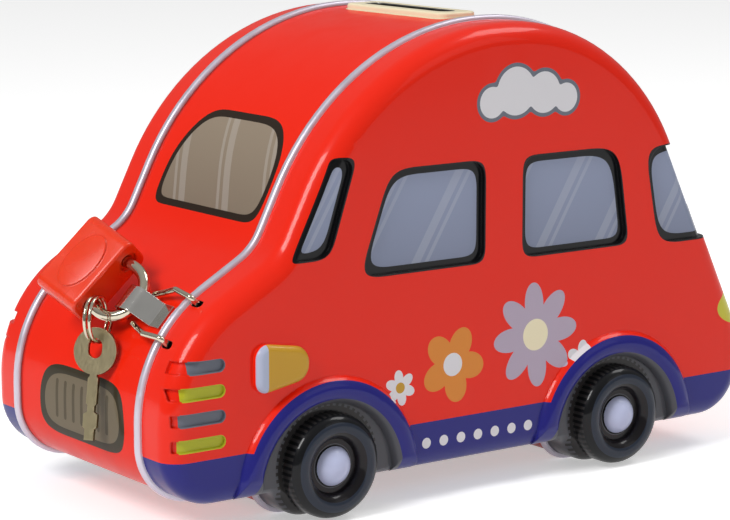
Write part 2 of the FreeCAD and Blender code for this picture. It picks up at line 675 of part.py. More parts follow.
# Padlock axes: origin at the middle of the case's shackle end
PADLOCK_TURN = FreeCAD.Rotation(Vector(0, 0, 1), PADLOCK_YAW).multiply(
    FreeCAD.Rotation(Vector(1, 0, 0), PADLOCK_TILT))
BOW_TOP = Vector(0, HOOK_CENTRE, HOOK_HEIGHT)
PADLOCK_ORIGIN = BOW_TOP + PADLOCK_TURN.multVec(Vector(0, LEG_CLEAR, 0))
PADLOCK_PLACE = LATCH_PLACE.multiply(FreeCAD.Placement(PADLOCK_ORIGIN, PADLOCK_TURN))
HALF_SPACING = LEG_SPACING / 2
ALONG = Vector(0, 1, 0)
BLOCK_GAP = SLACK
CAVITY_X = CASE_WIDTH / 2 - JACKET_WALL
CAVITY_Z = CASE_THICKNESS / 2 - JACKET_WALL
BLOCK_END = CASE_HEIGHT - PLATE_WALL - SLACK
HOLE_RADIUS = SHACKLE_RADIUS + LEG_SLACK
TOE_X = HALF_SPACING
HEEL_X = -HALF_SPACING
TOE_FLAT = TOE_X - SHACKLE_RADIUS + BOLT_ENTRY + LEG_SLACK
HEEL_FLAT = HEEL_X + SHACKLE_RADIUS - PIN_RADIUS * 2
CAM_OFFSET = BOLT_TRAVEL / math.sqrt(2)
BOLT_TIP = TOE_X - SHACKLE_RADIUS + BOLT_ENTRY
BOLT_TAIL_X = -CAM_OFFSET - BOLT_TAIL
PIN_PLACE = 3.4


def along_legs(x, start, end, radius, z=0):
    return Part.makeCylinder(radius, end - start, Vector(x, start, z), ALONG)


def make_shackle():
    """Round bow with a long heel leg and a shorter toe leg."""
    bow_centre = -(LEG_CLEAR - HALF_SPACING)
    heel_root = Vector(HEEL_X, bow_centre, 0)
    toe_root = Vector(TOE_X, bow_centre, 0)
    edges = [Part.LineSegment(Vector(HEEL_X, HEEL_LENGTH, 0), heel_root).toShape(),
             Part.Arc(heel_root, Vector(0, -LEG_CLEAR, 0), toe_root).toShape(),
             Part.LineSegment(toe_root, Vector(TOE_X, TOE_LENGTH, 0)).toShape()]
    shackle = round_rod(Part.Wire(edges), SHACKLE_RADIUS)
    reach = SHACKLE_RADIUS + 1
    notch = box_between(Vector(TOE_X - reach, BOLT_START - LEG_SLACK, -reach),
                        Vector(TOE_FLAT, TOE_LENGTH + 1, reach))
    groove_end = PIN_PLACE + RELEASE_TRAVEL + PIN_RADIUS + LEG_SLACK
    groove = box_between(Vector(HEEL_FLAT - LEG_SLACK, PIN_PLACE - PIN_RADIUS - LEG_SLACK, -reach),
                         Vector(HEEL_X + reach, groove_end, reach))
    return placed(shackle.cut([notch, groove]), PADLOCK_PLACE)


def make_jacket():
    """Moulded jacket, open at the keyway end."""
    low = Vector(-CASE_WIDTH / 2, 0, -CASE_THICKNESS / 2)
    block = box_between(low, Vector(CASE_WIDTH / 2, CASE_HEIGHT, CASE_THICKNESS / 2))
    block = block.makeFillet(CASE_CORNER, [e for e in block.Edges if e.BoundBox.YLength > 1])
    block = block.makeFillet(CASE_EDGE, edges_at_y(block, 0))
    reliefs = []
    for side in (-1, 1):
        oval = Part.Ellipse(Vector(0, 0, 0), RELIEF_LENGTH / 2, RELIEF_HEIGHT / 2).toShape()
        plate = Part.Face(Part.Wire([oval])).extrude(Vector(0, 0, RELIEF_RISE + 0.5))
        plate = plate.makeFillet(RELIEF_RISE * 0.6, [e for e in plate.Edges if e.BoundBox.ZMin > RELIEF_RISE])
        if side < 0:
            plate.rotate(Vector(0, 0, 0), Vector(1, 0, 0), 180)
        plate.translate(Vector(0, CASE_HEIGHT / 2, side * (CASE_THICKNESS / 2 - 0.5)))
        reliefs.append(plate)
    cavity = box_between(Vector(-CAVITY_X, JACKET_WALL, -CAVITY_Z),
                         Vector(CAVITY_X, CASE_HEIGHT + 1, CAVITY_Z))
    cuts = [cavity]
    for x in (HEEL_X, TOE_X):
        cuts.append(along_legs(x, -1, JACKET_WALL + 1, HOLE_RADIUS))
        cuts.append(along_legs(x, -1, LEG_RECESS_DEPTH, LEG_RECESS_RADIUS))
    return placed(block.fuse(reliefs).cut(cuts), PADLOCK_PLACE)


def bolt_slot_box():
    """Space of the bolt and its spring inside the lock block."""
    spring_end = BOLT_TAIL_X - BOLT_TRAVEL - BOLT_SPRING_LENGTH - SLACK * 2
    return box_between(Vector(spring_end, BOLT_START - SLACK, -BOLT_HALF_WIDTH - SLACK),
                       Vector(TOE_X, BOLT_START + BOLT_WALL + SLACK, BOLT_HALF_WIDTH + SLACK))


def make_lock_block():
    """Metal block inside the jacket, bored for the legs, plug, bolt and pin."""
    low = Vector(-CAVITY_X + BLOCK_GAP, JACKET_WALL + BLOCK_GAP, -CAVITY_Z + BLOCK_GAP)
    block = box_between(low, Vector(CAVITY_X - BLOCK_GAP, BLOCK_END, CAVITY_Z - BLOCK_GAP))
    cuts = [along_legs(TOE_X, 0, TOE_LENGTH + 1, HOLE_RADIUS),
            along_legs(HEEL_X, 0, BLOCK_END - 0.4, HOLE_RADIUS),
            along_legs(0, BOLT_START + BOLT_WALL, CASE_HEIGHT, PLUG_RADIUS + SLACK),
            bolt_slot_box(), retaining_pin_shape(SLACK)]
    return placed(block.cut(cuts).removeSplitter(), PADLOCK_PLACE)


def retaining_pin_shape(grow):
    reach = CAVITY_Z - BLOCK_GAP
    return Part.makeCylinder(PIN_RADIUS + grow, reach * 2, Vector(HEEL_FLAT + PIN_RADIUS, PIN_PLACE, -reach))


def make_bottom_plate():
    """Plate that closes the jacket round the plug."""
    start = CASE_HEIGHT - PLATE_WALL
    plate = box_between(Vector(-CAVITY_X + SLACK, start, -CAVITY_Z + SLACK),
                        Vector(CAVITY_X - SLACK, CASE_HEIGHT, CAVITY_Z - SLACK))
    return placed(plate.cut(along_legs(0, start - 1, CASE_HEIGHT + 1, PLUG_RADIUS + SLACK)), PADLOCK_PLACE)


def make_plug():
    """Turning plug with its keyway and the cam pin that draws the bolt."""
    plug = along_legs(0, PLUG_INNER, CASE_HEIGHT, PLUG_RADIUS)
    keyway = box_between(Vector(-KEYWAY_WIDTH / 2, PLUG_INNER + 1.5, -KEYWAY_LENGTH / 2),
                         Vector(KEYWAY_WIDTH / 2, CASE_HEIGHT + 1, KEYWAY_LENGTH / 2))
    groove = along_legs(0, PLUG_INNER + 2.4, PLUG_INNER + 2.4 + CLIP_WALL + SLACK * 2, PLUG_RADIUS + 1)
    groove = groove.cut(along_legs(0, PLUG_INNER, CASE_HEIGHT, PLUG_RADIUS - 0.35))
    cam = along_legs(CAM_OFFSET / math.sqrt(2), BOLT_START + SLACK, PLUG_INNER + 0.5, CAM_RADIUS,
                     CAM_OFFSET / math.sqrt(2))
    return placed(plug.cut([keyway, groove]).fuse(cam).removeSplitter(), PADLOCK_PLACE)


def make_plug_clip():
    """Spring clip in the plug's groove."""
    start = PLUG_INNER + 2.4 + SLACK
    ring = along_legs(0, start, start + CLIP_WALL, PLUG_RADIUS)
    ring = ring.cut(along_legs(0, start - 1, start + 1 + CLIP_WALL, PLUG_RADIUS - 0.3))
    gap = box_between(Vector(-KEYWAY_WIDTH, start - 1, 0), Vector(KEYWAY_WIDTH, start + 2, PLUG_RADIUS + 1))
    return placed(ring.cut(gap), PADLOCK_PLACE)


def make_bolt():
    """Sliding bolt; its slot follows the plug's cam pin."""
    low = Vector(BOLT_TAIL_X, BOLT_START, -BOLT_HALF_WIDTH)
    bolt = box_between(low, Vector(BOLT_TIP, BOLT_START + BOLT_WALL, BOLT_HALF_WIDTH))
    cam_x = CAM_OFFSET / math.sqrt(2)
    half = CAM_RADIUS + SLACK * 2
    slot = box_between(Vector(cam_x - half, BOLT_START - 1, -0.2),
                       Vector(cam_x + half, BOLT_START + BOLT_WALL + 1, BOLT_HALF_WIDTH + 1))
    return placed(bolt.cut(slot), PADLOCK_PLACE)


def make_bolt_spring():
    """Plain sleeve in the place of the bolt's small coil spring, pressed together."""
    start = Vector(BOLT_TAIL_X - BOLT_TRAVEL - SLACK, BOLT_START + BOLT_WALL / 2, 0)
    back = Vector(-1, 0, 0)
    radius = BOLT_WALL / 2 - SLACK
    sleeve = Part.makeCylinder(radius, BOLT_SPRING_LENGTH, start, back)
    hollow = Part.makeCylinder(radius - BOLT_SPRING_WALL, BOLT_SPRING_LENGTH, start, back)
    return placed(sleeve.cut(hollow), PADLOCK_PLACE)


def make_shackle_spring():
    """Plain sleeve in the place of the spring under the heel leg."""
    start = HEEL_LENGTH + SLACK
    end = BLOCK_END - 0.4 - SLACK
    sleeve = along_legs(HEEL_X, start, end, SHACKLE_RADIUS)
    return placed(sleeve.cut(along_legs(HEEL_X, start - 1, end + 1, SPRING_RADIUS)), PADLOCK_PLACE)


# Ring and key: the ring hangs from the lower leg, the key faces away from the nose
KEY_OUT = Vector(-math.cos(math.radians(KEY_FACING)), -math.sin(math.radians(KEY_FACING)), 0)
KEY_ACROSS = Vector(math.sin(math.radians(KEY_FACING)), -math.cos(math.radians(KEY_FACING)), 0)
UP = Vector(0, 0, 1)
RING_LEG = PADLOCK_PLACE.multVec(Vector(HEEL_X, -RING_PLACE, 0))
LEG_AXIS = PADLOCK_PLACE.Rotation.multVec(ALONG)
RING_CENTRE = RING_LEG + (KEY_OUT * math.sin(math.radians(RING_LEAN))
                          - UP * math.cos(math.radians(RING_LEAN))) * RING_HANG
RING_PLACE_FRAME = FreeCAD.Placement(frame_matrix(RING_CENTRE, KEY_ACROSS, KEY_OUT * -1, UP))


def biarc(start, start_dir, end, end_dir):
    """Two tangent arcs between two points with given headings."""
    chord = end - start
    both = start_dir + end_dir
    a = 2 * (1 - start_dir.dot(end_dir))
    b = chord.dot(both)
    reach = (-b + math.sqrt(b * b + a * chord.dot(chord))) / a
    joint = (start + end + (start_dir - end_dir) * reach) * 0.5
    arcs = []
    halves = ((start, start + start_dir * reach, joint), (joint, end - end_dir * reach, end))
    for first, corner, last in halves:
        half = (last - first).Length / 2
        middle = (first + last) * 0.5
        rise = (corner - middle).Length
        quarter_turn = math.atan2(rise, half) / 2
        crown = middle + (corner - middle).normalize() * (half * math.tan(quarter_turn))
        arcs.append(Part.Arc(first, crown, last).toShape())
    return arcs


def ring_station(turn):
    """Point and heading on the ring's wire, after a number of turns."""
    angle = 2 * math.pi * turn
    across = RING_RADIUS * math.cos(angle)
    up = RING_RADIUS * math.sin(angle)
    point = Vector(RING_PITCH * (turn - RING_TURNS / 2 - 0.25), across, up)
    heading = Vector(RING_PITCH / (2 * math.pi), -up, across)
    return point, heading.normalize()


def make_split_ring():
    """Split ring of flat turns, as one unbroken wire."""
    quarter = 0.25
    edges = []
    for i in range(int(RING_TURNS / quarter)):
        start, start_dir = ring_station(i * quarter)
        end, end_dir = ring_station((i + 1) * quarter)
        edges += biarc(start, start_dir, end, end_dir)
    path = Part.Wire(edges)
    print("split ring: gap between turns", round(RING_PITCH - 2 * RING_WIRE_RADIUS, 3))
    section = Part.Wire([Part.Circle(*ring_station(0), RING_WIRE_RADIUS).toShape()])
    return placed(path.makePipeShell([section], True, False), RING_PLACE_FRAME)


def key_profile(neck_z):
    """Blade outline below the bow, as corners (x, z, radius)."""
    runs = ((NECK_WIDTH, NECK_LENGTH), (SHANK_WIDTH, SHANK_LENGTH), (NECK_WIDTH, NOTCH_LENGTH),
            (BIT_WIDTH, BIT_LENGTH), (TIP_WIDTH, TIP_LENGTH))
    side = [(NECK_WIDTH / 2, neck_z + BOW_RADIUS / 2)]
    z = neck_z
    for width, length in runs:
        side.append((width / 2, z))
        z -= length - STEP_LENGTH
        side.append((width / 2, z))
        z -= STEP_LENGTH
    left = [(-x, corner_z, 0.0) for x, corner_z in side]
    right = [(x, corner_z, 0.0) for x, corner_z in reversed(side)]
    return left + right


def make_key():
    """Flat key: round bow with a hole, notched blade; hangs on the ring's wire."""
    hole_top = -RING_RADIUS + RING_WIRE_RADIUS + FIT_GAP * 1.5
    hole_z = hole_top - BOW_HOLE_LENGTH / 2
    bow_z = hole_z - 0.6
    depth = Vector(0, KEY_THICKNESS, 0)
    bow = Part.makeCylinder(BOW_RADIUS, KEY_THICKNESS, Vector(0, 0, bow_z), ALONG)
    blade = Part.Face(rounded_wire(key_profile(bow_z - BOW_RADIUS))).extrude(depth)
    half = BOW_HOLE_WIDTH / 2
    round_end = half * 0.98
    hole_foot = hole_top - BOW_HOLE_LENGTH
    hole = prism([(-half, hole_foot, round_end), (half, hole_foot, round_end),
                  (half, hole_top, round_end), (-half, hole_top, round_end)], -1, KEY_THICKNESS + 1)
    key = bow.fuse(blade).cut(hole).removeSplitter()
    key.translate(Vector(0, -KEY_THICKNESS / 2, 0))
    key.rotate(Vector(0, 0, 0), Vector(1, 0, 0), -KEY_LEAN)
    return placed(key, RING_PLACE_FRAME)


def build():
    """All pieces by node name, in the car's own axes."""
    side = make_side()
    return {
        "lid_shell": side.cut(wire_holes()),
        "far_side_shell": side.mirror(Vector(0, 0, 0), Vector(0, 1, 0)),
        "centre_band": make_band(),
        "hinge_leaf_lid": make_leaf(1, 1),
        "hinge_leaf_body": make_leaf(-1, 0),
        "hinge_pin": make_hinge_pin(),
        "hook_strip": make_hook_strip(),
        "latch_wire": make_latch_wire(),
        "padlock_shackle": make_shackle(),
        "padlock_jacket": make_jacket(),
        "lock_block": make_lock_block(),
        "bottom_plate": make_bottom_plate(),
        "lock_plug": make_plug(),
        "plug_clip": make_plug_clip(),
        "locking_bolt": make_bolt(),
        "bolt_spring": make_bolt_spring(),
        "shackle_spring": make_shackle_spring(),
        "retaining_pin": placed(retaining_pin_shape(0), PADLOCK_PLACE),
        "split_ring": make_split_ring(),
        "padlock_key": make_key(),
    }


def centre_shift(pieces):
    """Shift that puts the origin under the middle of the whole object, on the table."""
    box = FreeCAD.BoundBox()
    for shape in pieces.values():
        box.add(shape.optimalBoundingBox(False))
    return Vector(-box.Center.x, -box.Center.y, -box.ZMin)


def main():
    os.makedirs("parts", exist_ok=True)
    pieces = build()
    shift = centre_shift(pieces)
    for name, shape in pieces.items():
        shape.translate(shift)
        shape.exportStep(os.path.join("parts", name + ".step"))
        print(name, "solids", len(shape.Solids), "valid", shape.isValid(), "volume", round(shape.Volume, 1))
    print("origin shift", shift)


main()
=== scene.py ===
"""Car-shaped tin money box with its padlock: looks, stage and camera."""
import math

import bpy
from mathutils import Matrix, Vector
from mathutils.bvhtree import BVHTree


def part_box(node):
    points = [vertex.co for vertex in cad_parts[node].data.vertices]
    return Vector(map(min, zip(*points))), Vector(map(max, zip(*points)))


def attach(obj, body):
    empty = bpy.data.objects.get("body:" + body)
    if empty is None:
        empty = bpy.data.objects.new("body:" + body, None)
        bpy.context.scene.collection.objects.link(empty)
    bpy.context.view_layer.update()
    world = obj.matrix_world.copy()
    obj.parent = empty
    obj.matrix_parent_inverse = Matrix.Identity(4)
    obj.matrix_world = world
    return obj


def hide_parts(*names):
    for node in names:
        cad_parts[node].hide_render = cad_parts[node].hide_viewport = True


bl_info = {
    "name": "Tin Money Box",
    "version": (1, 0, 0),
    "blender": (4, 5, 0),
    "location": "View3D > Sidebar > Money Box",
    "description": "Lithographed tin car money box with a hinged side, wire latch and padlock",
    "category": "Object",
}

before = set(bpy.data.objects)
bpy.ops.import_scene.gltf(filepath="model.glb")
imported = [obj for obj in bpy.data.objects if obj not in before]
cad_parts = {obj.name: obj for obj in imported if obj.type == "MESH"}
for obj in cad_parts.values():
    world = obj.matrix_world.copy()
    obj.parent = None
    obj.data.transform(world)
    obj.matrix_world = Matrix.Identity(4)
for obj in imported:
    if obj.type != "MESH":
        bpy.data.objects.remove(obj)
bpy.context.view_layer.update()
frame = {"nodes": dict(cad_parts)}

MM = 0.001
LATCH_SIDE = -1          # the opening side lies towards -Y
WHEELS = (-42.0, 42.0)   # wheel centres along the car, in mm from mid wheelbase
RIM_Y = 25.7             # the two rims, in mm from the middle plane
BEAD_WIDTH = 2.1
LID_FRONT = 85.05        # how far the opening side's front end lies ahead of mid wheelbase, in mm
PRINT_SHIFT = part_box("lid_shell")[0][0] / MM + LID_FRONT   # mid wheelbase in the frame, in mm


def linear(hex_code):
    """Turn an sRGB hex value into a linear colour."""
    channels = []
    for start in (1, 3, 5):
        value = int(hex_code[start:start + 2], 16) / 255
        channels.append(value / 12.92 if value <= 0.04045 else ((value + 0.055) / 1.055) ** 2.4)
    return tuple(channels)


def colour_property(name, description, hex_code):
    return bpy.props.FloatVectorProperty(
        name=name, description=description, subtype="COLOR", size=3, min=0.0, max=1.0,
        default=linear(hex_code))


class PrintSettings(bpy.types.PropertyGroup):
    """Inks of the print on the tin, and where its lines lie; the seam colour is painted shade
    beside the rims.
    """

    red: colour_property("Body red", "Ground colour of the print", "#ee240a")
    # Painted shade: darker red on the band beside each rim, standing in for the shadow in the seam
    # groove
    seam: colour_property("Seam red", "Darker red where the band meets the rims", "#6e0d06")
    blue: colour_property("Sill blue", "Sill and wheel arches", "#24247c")
    pane: colour_property("Pane", "Side window panes", "#939cb6")
    screen: colour_property("Windscreen", "Windscreen pane", "#8c7e6d")
    frame: colour_property("Screen frame", "Line round the windscreen", "#2a2018")
    black: colour_property("Black", "Window frames and tyres", "#0d0e11")
    slate: colour_property("Tyre slate", "Paler ring on the tyre's wall", "#29303d")
    dish: colour_property("Wheel dish", "Dark disc between tyre and hub", "#171417")
    tread: colour_property("Tread", "Toothed tread round each tyre", "#2f2d2d")
    hub: colour_property("Hub", "Pale wheel hub", "#c4cae8")
    well: colour_property("Wheel well", "Grey behind the wheels", "#55565c")
    amber: colour_property("Headlight", "Main field of the headlight", "#c99a2e")
    pale: colour_property("Headlight strip", "Front strip of the headlight", "#b4bcd4")
    green: colour_property("Vent green", "Every second vent", "#bdbe2c")
    grey: colour_property("Vent grey", "The vents between", "#6f7480")
    lamp: colour_property("Rear lamp", "Rear lamp", "#cdc53e")
    grille: colour_property("Grille", "Grille field", "#6d624e")
    grille_line: colour_property("Grille line", "Grille frame", "#352f20")
    slit: colour_property("Grille slit", "Slits of the grille", "#4f4532")
    cream: colour_property("Coin pad", "Raised pad round the coin slot", "#f4e9c6")
    orange: colour_property("Flower orange", "Small flower on the doors", "#e08a34")
    lilac: colour_property("Flower lilac", "Large flower on the doors", "#b9aabd")
    white: colour_property("Print white", "Cloud and dots", "#e4e2e6")
    sill_top: bpy.props.FloatProperty(
        name="Sill top", description="Height of the sill's upper edge in millimetres",
        default=18.5, min=12.0, max=30.0)
    frame_width: bpy.props.FloatProperty(
        name="Frame width", description="Black line round each pane in millimetres",
        default=1.5, min=0.3, max=4.0)


class MetalSettings(bpy.types.PropertyGroup):
    """Colours of the plain metal and plastic pieces."""

    nickel: colour_property("Nickel", "Shackle, ring and latch wire", "#c9c2ae")
    tin: colour_property("Bare tin", "Inside of the box and the hook strip", "#cfcdc8")
    bead: colour_property("Rolled rim", "Rim round each side", "#d2cbd8")
    key: colour_property("Key", "Padlock key", "#a89c7c")
    brass: colour_property("Brass", "Lock block and plug", "#b8924a")
    steel: colour_property("Steel", "Hinge and springs", "#9a9a9c")
    plastic: colour_property("Padlock plastic", "Jacket of the padlock", "#e8370d")


class StageSettings(bpy.types.PropertyGroup):
    """Floor, light and camera."""

    floor: colour_property("Floor", "Plain pale floor", "#f4f4f4")
    floor_glow: bpy.props.FloatProperty(
        name="Floor glow", default=0.44, min=0.0, max=1.0,
        description="How much brighter the floor is seen than its light makes it")
    key_power: bpy.props.FloatProperty(
        name="Key light", description="Power of the window light", default=8.0, min=0.0,
        unit="POWER")
    fill_power: bpy.props.FloatProperty(
        name="Fill light", description="Power of the light on the shaded side", default=0.5,
        min=0.0, unit="POWER")
    ceiling_power: bpy.props.FloatProperty(
        name="Ceiling light", description="Power of the light over the tail", default=3.0, min=0.0,
        unit="POWER")
    room_low: bpy.props.FloatProperty(
        name="Room light, low", description="Strength of the room's light at floor level",
        default=0.22, min=0.0)
    room_high: bpy.props.FloatProperty(
        name="Room light, high", description="Strength of the room's light overhead",
        default=0.5, min=0.0)
    lens: bpy.props.FloatProperty(
        name="Lens", description="Focal length in millimetres", default=131.12, min=20.0,
        unit="CAMERA")


def put(tree, kind, *inputs, named=None, **settings):
    """Add a node with its settings; set or link its inputs in order, or by name."""
    made = tree.nodes.new(kind)
    for name, value in settings.items():
        setattr(made, name, value)
    sockets = [socket for socket in made.inputs if socket.enabled]
    pairs = list(zip(sockets, inputs))
    pairs += [(made.inputs[name], value) for name, value in (named or {}).items()]
    for socket, value in pairs:
        if isinstance(value, bpy.types.Node):
            value = next(output for output in value.outputs if output.enabled)
        if isinstance(value, bpy.types.NodeSocket):
            tree.links.new(value, socket)
        elif value is not None:
            socket.default_value = value
    return made


def rgba(colour):
    return (colour[0], colour[1], colour[2], 1.0)


def new_material(name):
    material = bpy.data.materials.new(name)
    material.use_nodes = True
    tree = material.node_tree
    tree.nodes.clear()
    return material, tree


def close_material(tree, normal=None, **named):
    """Principled surface with its values by socket name, linked to the output."""
    values = {name.replace("_", " "): value for name, value in named.items()}
    if normal is not None:
        values["Normal"] = normal
    surface = put(tree, "ShaderNodeBsdfPrincipled", named=values)
    put(tree, "ShaderNodeOutputMaterial", surface)


# Outlines of the embossed fields in millimetres, each with its corner radii
SIDE_WINDOWS = (
    (((-33.5, 53.9), (1.5, 53.9), (1.5, 77.2), (-25.0, 77.2)), (3.0, 3.5, 4.5)),
    (((13.0, 53.9), (45.3, 53.9), (41.8, 77.2), (13.0, 77.2)), (3.0, 6.0, 3.2)),
    (((55.3, 52.9), (100.0, 52.9), (100.0, 76.4), (50.8, 76.4)), (1.0, 1.0, 5.0)),
    (((-51.6, 59.2), (-42.0, 59.2), (-34.8, 80.8), (-40.6, 80.8)), (3.4, 2.8, 1.2)),
)
HEADLIGHT = (((-62.4, 30.9), (-48.4, 33.4), (-48.4, 40.5), (-62.4, 42.8)), (3.4, 3.4, 2.9))
HEADLIGHT_EDGE = 39.8       # depth from the middle plane where its paint starts
HEADLIGHT_STRIP = -59.7
HEADLIGHT_OVERLAP = 0.5     # paint past the embossed outline
FRAME_OVERLAP = 0.35
REAR_LAMP = (84.0, 34.5, 4.6, 1.9)   # centre, half height, and length over height
WINDSCREEN = (
    ((-23.6, 65.5), (19.4, 65.5), (20.4, 78.5), (13.8, 87.3), (-16.8, 87.3), (-24.0, 79.5)),
    (3.0, 5.5, 4.0, 4.5, 4.0))
GRILLE = (((-21.5, 16.4), (17.4, 16.4), (16.0, 32.6), (-20.0, 32.6)), (7.0, 7.0, 7.0))
COIN_PAD = (((3.4, -19.8), (15.0, -19.8), (15.0, 19.8), (3.4, 19.8)), (2.5, 2.5, 2.5))
PAD_FOOT = 107.3
FRONT_PRINT_END = -20.0     # windscreen and grille stay ahead of this
GRILLE_FRAME = 1.8
GRILLE_SLITS = 7
SLIT_MIDDLE = -2.05         # the band's print sits a little towards the opening side
SLIT_SPACING = 3.65
SLIT_HALF = 0.6
SLIT_FOOT = 20.9
SLIT_HEAD = 28.7
VENT_ROWS = ((22.1, -81.2), (27.7, -80.9), (33.3, -80.3), (38.9, -78.3))   # height and front end
VENT_HALF = 1.5
VENT_REAR = -69.5
PANE_HEIGHTS = (54.0, 78.0)
SCREEN_HEIGHTS = (66.0, 88.0)
PANE_SHADE = (0.82, 1.12)   # pane's tone at its foot and head
GLARE_SLANT = (0.055, -0.034, 0.0)
GLARE_BARS = ((0.16, 0.07), (0.33, 0.03))   # middle and half width, as shares of their spacing
GLARE_SHARE = 0.10
WHEEL_HEIGHT = 12.6
WHEEL_RINGS = ((10.2, "slate"), (7.9, "dish"), (5.05, "well"), (4.85, "black"), (4.5, "hub"))
TREAD_TEETH = 52
TOOTH_DEPTH = 0.6
TREAD_RADIUS = 13.2
TYRE_RADIUS = 11.6
ARCH_HEIGHT = 8.5
ARCH_RADIUS = 23.4
WELL_RADIUS = 19.3
# Each flower has its centre, radius, petals, and the inks of petals and heart
FLOWERS = (
    ((17.0, 35.0), 12.5, 8, "lilac", "cream"),
    ((-7.5, 31.0), 9.0, 5, "orange", "white"),
    ((31.5, 27.0), 5.0, 6, "white", "amber"),
    ((-22.5, 27.5), 4.2, 6, "white", "amber"),
)
PETAL_SHARE = 0.42
HEART_SHARE = 0.3
DOTS = 7
DOT_FIRST = (-15.0, 13.6)
DOT_SPACING = 5.0
DOT_RADIUS = 1.25
CLOUD = (((3.5, 90.4), 3.6), ((10.5, 92.6), 5.6), ((18.8, 91.8), 4.8), ((25.4, 90.2), 3.4))
CLOUD_BLEND = 1.2
CLOUD_LINE = 0.9
RIM_SHADE_START = 1.3            # painted shade beside a rim begins this far from it and is full at its end
RIM_SHADE_END = 0.2
RIM_SHADE_SHARE = 0.8

# Values between which the textures that vary a finish mostly lie
NOISE_LOW = 0.3
NOISE_HIGH = 0.7
SCRATCH_HIGH = 0.75
WHITE = (1.0, 1.0, 1.0, 1.0)
ROUND_TO_BLEND = 1.76       # smooth maximum's blend that cuts a square corner like a radius of 1


def print_point(tree):
    """Place on the tin in millimetres, from mid wheelbase; returns (point, x, y, z)."""
    coordinates = put(tree, "ShaderNodeTexCoord").outputs["Object"]
    point = put(tree, "ShaderNodeVectorMath", coordinates, (1.0 / MM, 1.0 / MM, 1.0 / MM),
                (-PRINT_SHIFT, 0.0, 0.0), operation="MULTIPLY_ADD")
    parts = put(tree, "ShaderNodeSeparateXYZ", point)
    return point, parts.outputs[0], parts.outputs[1], parts.outputs[2]


def convex_distance(tree, flat, corners, radii):
    """Distance outside a rounded convex outline, anticlockwise corners in millimetres.

    One radius for each corner after the first; the last also rounds the first corner.
    """
    result = None
    for i, (a, b) in enumerate(corners):
        c, d = corners[(i + 1) % len(corners)]
        length = math.hypot(c - a, d - b)
        normal = ((d - b) / length, (a - c) / length, 0.0)
        along = put(tree, "ShaderNodeVectorMath", flat, normal, operation="DOT_PRODUCT")
        offset = normal[0] * a + normal[1] * b
        away = put(tree, "ShaderNodeMath", along, offset, operation="SUBTRACT")
        if result is None:
            result = away
        else:
            blend = radii[i - 1] * ROUND_TO_BLEND
            result = put(tree, "ShaderNodeMath", result, away, blend, operation="SMOOTH_MAX")
    return result


def circle_distance(tree, flat, centre, radius):
    reach = put(tree, "ShaderNodeVectorMath", flat, (centre[0], centre[1], 0.0),
                operation="DISTANCE")
    return put(tree, "ShaderNodeMath", reach, radius, operation="SUBTRACT")


def around(tree, flat, centre):
    """Angle round a centre, and distance from it."""
    local = put(tree, "ShaderNodeVectorMath", flat, (centre[0], centre[1], 0.0),
                operation="SUBTRACT")
    parts = put(tree, "ShaderNodeSeparateXYZ", local)
    angle = put(tree, "ShaderNodeMath", parts.outputs[1], parts.outputs[0], operation="ARCTAN2")
    return angle, put(tree, "ShaderNodeVectorMath", local, operation="LENGTH")


def flower_distance(tree, flat, centre, radius, petals, turn):
    """Distance outside a flower of round petals, scaled to its radius."""
    angle, reach = around(tree, flat, centre)
    wave = put(tree, "ShaderNodeMath", angle, petals / 2, turn, operation="MULTIPLY_ADD")
    wave = put(tree, "ShaderNodeMath", wave, operation="SINE")
    lobe = put(tree, "ShaderNodeMath", wave, operation="ABSOLUTE")
    edge = put(tree, "ShaderNodeMath", lobe, radius * PETAL_SHARE, radius * (1.0 - PETAL_SHARE),
               operation="MULTIPLY_ADD")
    return put(tree, "ShaderNodeMath", reach, edge, operation="SUBTRACT")


def tread_distance(tree, flat, centre):
    """Distance from a wheel's centre, stepped by the square teeth of its tread."""
    angle, reach = around(tree, flat, centre)
    wave = put(tree, "ShaderNodeMath", angle, TREAD_TEETH, operation="MULTIPLY")
    wave = put(tree, "ShaderNodeMath", wave, operation="SINE")
    tooth = put(tree, "ShaderNodeMath", wave, 0.0, operation="GREATER_THAN")
    return put(tree, "ShaderNodeMath", tooth, -TOOTH_DEPTH, reach, operation="MULTIPLY_ADD")


def stack_inks(tree, ground, layers):
    """Lay inks over a ground colour; each layer is (distance, limit, colour)."""
    below = ground
    for distance, limit, colour in layers:
        mask = put(tree, "ShaderNodeMath", distance, limit, operation="LESS_THAN")
        below = put(tree, "ShaderNodeMix", mask, below, colour, data_type="RGBA")
    return below


def soft_normal(tree, radius, ripple=None, strength=0.0, depth=0.0):
    """Rounded pressed edges, with a fine ripple over them where one is given."""
    rounded = put(tree, "ShaderNodeBevel", radius, samples=6)
    if ripple is None:
        return rounded
    return put(tree, "ShaderNodeBump", strength, depth, ripple,
               named={"Normal": rounded.outputs[0]})


def finish_lacquer(tree, point, printed, gloss, specular):
    """Stoved clear lacquer over the inks: sharp gloss, with a faint ripple and handling marks."""
    # Lacquer settles in waves of about 3 mm, drawn a little deeper than life so that they show
    ripple = put(tree, "ShaderNodeTexNoise", point, named={"Scale": 0.33, "Detail": 2.0})
    # Handling dulls it in patches of about 8 mm
    patch = put(tree, "ShaderNodeTexNoise", point, named={"Scale": 0.12, "Detail": 3.0})
    rough = put(tree, "ShaderNodeMapRange", patch.outputs[0], NOISE_LOW, NOISE_HIGH, 0.28, 0.4)
    normal = soft_normal(tree, 0.6 * MM, ripple.outputs[0], strength=0.06, depth=0.05 * MM)
    close_material(tree, normal, Base_Color=printed, Roughness=rough, IOR=1.5,
                   Specular_IOR_Level=specular, Coat_Weight=gloss, Coat_Roughness=0.05)


